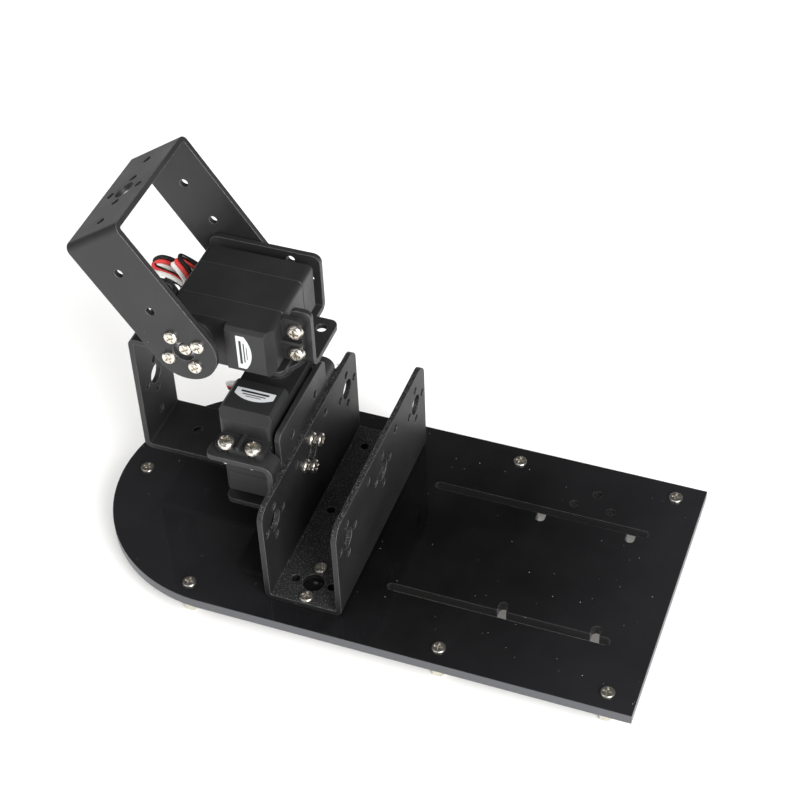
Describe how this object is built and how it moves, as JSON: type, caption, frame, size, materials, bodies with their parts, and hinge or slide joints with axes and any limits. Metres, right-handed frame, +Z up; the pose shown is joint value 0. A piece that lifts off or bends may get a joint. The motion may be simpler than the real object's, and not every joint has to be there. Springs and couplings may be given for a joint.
{
  "type": "pan tilt camera mount",
  "caption": "Pan and tilt camera mount: two stacked hobby servos in bent metal brackets turn long forks above a glossy base plate with a bolt-on channel.",
  "frame": {"origin": "centre of the base plate's outline, on the plane of the feet", "axes": "+Z up, +X along the base towards its square end, +Y across the base"},
  "size_m": [0.2136, 0.109, 0.1448],
  "materials": {
    "acrylic": "polished cast acrylic, black",
    "standoff_brass": "pale turned brass",
    "channel_metal": "sandblasted, black anodised",
    "bracket_metal": "satin black anodised",
    "nickel_hardware": "bright nickel plate",
    "servo_case": "fine textured moulded plastic",
    "horn_metal": "black anodised, turned",
    "label_silver": "silver foil sticker, blank",
    "cable_white": "white, red and black flat cable",
    "board_green": "solder mask",
    "gear_brass": "cut brass",
    "steel": "ground steel"
  },
  "bodies": {
    "base": {"base_plate": "acrylic", "foot_standoffs": "standoff_brass", "foot_screws": "nickel_hardware", "channel": "channel_metal", "channel_screws": "nickel_hardware", "pan_bracket_screws": "nickel_hardware", "base_nuts": "nickel_hardware", "pan_bottom_cover": "servo_case", "pan_middle_case": "servo_case", "pan_gear_case": "servo_case", "pan_motor": "steel", "pan_board": "board_green", "pan_potentiometer": "servo_case", "pan_gear_pin": "steel", "pan_output_bearing": "steel", "pan_label": "label_silver", "pan_idle_race": "steel", "pan_case_screws": "nickel_hardware", "pan_ear_screws": "nickel_hardware", "pan_idle_screw": "nickel_hardware", "pan_cable": "cable_white", "pan_bracket": "bracket_metal"},
    "pan_head": {"pan_output_shaft": "steel", "pan_output_race": "steel", "pan_horn": "horn_metal", "pan_idle_bearing": "steel", "pan_fork": "bracket_metal", "pan_horn_screws": "nickel_hardware", "pan_centre_screw": "nickel_hardware", "tilt_nuts": "nickel_hardware", "tilt_bottom_cover": "servo_case", "tilt_middle_case": "servo_case", "tilt_gear_case": "servo_case", "tilt_motor": "steel", "tilt_board": "board_green", "tilt_potentiometer": "servo_case", "tilt_gear_pin": "steel", "tilt_output_bearing": "steel", "tilt_label": "label_silver", "tilt_idle_race": "steel", "tilt_case_screws": "nickel_hardware", "tilt_ear_screws": "nickel_hardware", "tilt_idle_screw": "nickel_hardware", "tilt_cable": "cable_white", "tilt_bracket": "bracket_metal"},
    "tilt_head": {"tilt_output_shaft": "steel", "tilt_output_race": "steel", "tilt_horn": "horn_metal", "tilt_idle_bearing": "steel", "tilt_fork": "bracket_metal", "tilt_horn_screws": "nickel_hardware", "tilt_centre_screw": "nickel_hardware"},
    "pan_pinion": {"pan_pinion": "gear_brass"},
    "pan_first_gear": {"pan_first_gear": "gear_brass"},
    "pan_second_gear": {"pan_second_gear": "gear_brass"},
    "pan_third_gear": {"pan_third_gear": "gear_brass"},
    "tilt_pinion": {"tilt_pinion": "gear_brass"},
    "tilt_first_gear": {"tilt_first_gear": "gear_brass"},
    "tilt_second_gear": {"tilt_second_gear": "gear_brass"},
    "tilt_third_gear": {"tilt_third_gear": "gear_brass"}
  },
  "joints": [
    {"name": "pan_turn", "type": "hinge", "parent": "base", "child": "pan_head", "pos_m": [-0.0438, 0.01, 0.0793], "axis": [0, 0, 1], "range_deg": [-90, 90]},
    {"name": "tilt_turn", "type": "hinge", "parent": "pan_head", "child": "tilt_head", "pos_m": [-0.0659, -0.0137, 0.0949], "axis": [0, -1, 0], "range_deg": [-124.5, 55.5]},
    {"name": "pan_pinion_turn", "type": "hinge", "parent": "base", "child": "pan_pinion", "pos_m": [-0.0438, -0.01, 0.0793], "axis": [0, 0, 1], "range_deg": [-11432.7, 11432.7]},
    {"name": "pan_first_gear_turn", "type": "hinge", "parent": "base", "child": "pan_first_gear", "pos_m": [-0.0438, 0, 0.0793], "axis": [0, 0, 1], "range_deg": [-2858.9, 2858.9]},
    {"name": "pan_second_gear_turn", "type": "hinge", "parent": "base", "child": "pan_second_gear", "pos_m": [-0.0438, 0.01, 0.0793], "axis": [0, 0, 1], "range_deg": [-903.5, 903.5]},
    {"name": "pan_third_gear_turn", "type": "hinge", "parent": "base", "child": "pan_third_gear", "pos_m": [-0.0438, 0, 0.0793], "axis": [0, 0, 1], "range_deg": [-286, 286]},
    {"name": "tilt_pinion_turn", "type": "hinge", "parent": "pan_head", "child": "tilt_pinion", "pos_m": [-0.0459, -0.0137, 0.0949], "axis": [0, -1, 0], "range_deg": [-15814.8, 7050.5]},
    {"name": "tilt_first_gear_turn", "type": "hinge", "parent": "pan_head", "child": "tilt_first_gear", "pos_m": [-0.0559, -0.0137, 0.0949], "axis": [0, -1, 0], "range_deg": [-1763.4, 3954.5]},
    {"name": "tilt_second_gear_turn", "type": "hinge", "parent": "pan_head", "child": "tilt_second_gear", "pos_m": [-0.0659, -0.0137, 0.0949], "axis": [0, -1, 0], "range_deg": [-1249.5, 557.5]},
    {"name": "tilt_third_gear_turn", "type": "hinge", "parent": "pan_head", "child": "tilt_third_gear", "pos_m": [-0.0559, -0.0137, 0.0949], "axis": [0, -1, 0], "range_deg": [-176.8, 395.2]}
  ],
  "couplings": [
    {"joint": "pan_pinion_turn", "follows": "pan_turn", "ratio": 127.02},
    {"joint": "pan_first_gear_turn", "follows": "pan_turn", "ratio": -31.755},
    {"joint": "pan_second_gear_turn", "follows": "pan_turn", "ratio": 10.028},
    {"joint": "pan_third_gear_turn", "follows": "pan_turn", "ratio": -3.1667},
    {"joint": "tilt_pinion_turn", "follows": "tilt_turn", "ratio": 127.02},
    {"joint": "tilt_first_gear_turn", "follows": "tilt_turn", "ratio": -31.755},
    {"joint": "tilt_second_gear_turn", "follows": "tilt_turn", "ratio": 10.028},
    {"joint": "tilt_third_gear_turn", "follows": "tilt_turn", "ratio": -3.1667}
  ]
}
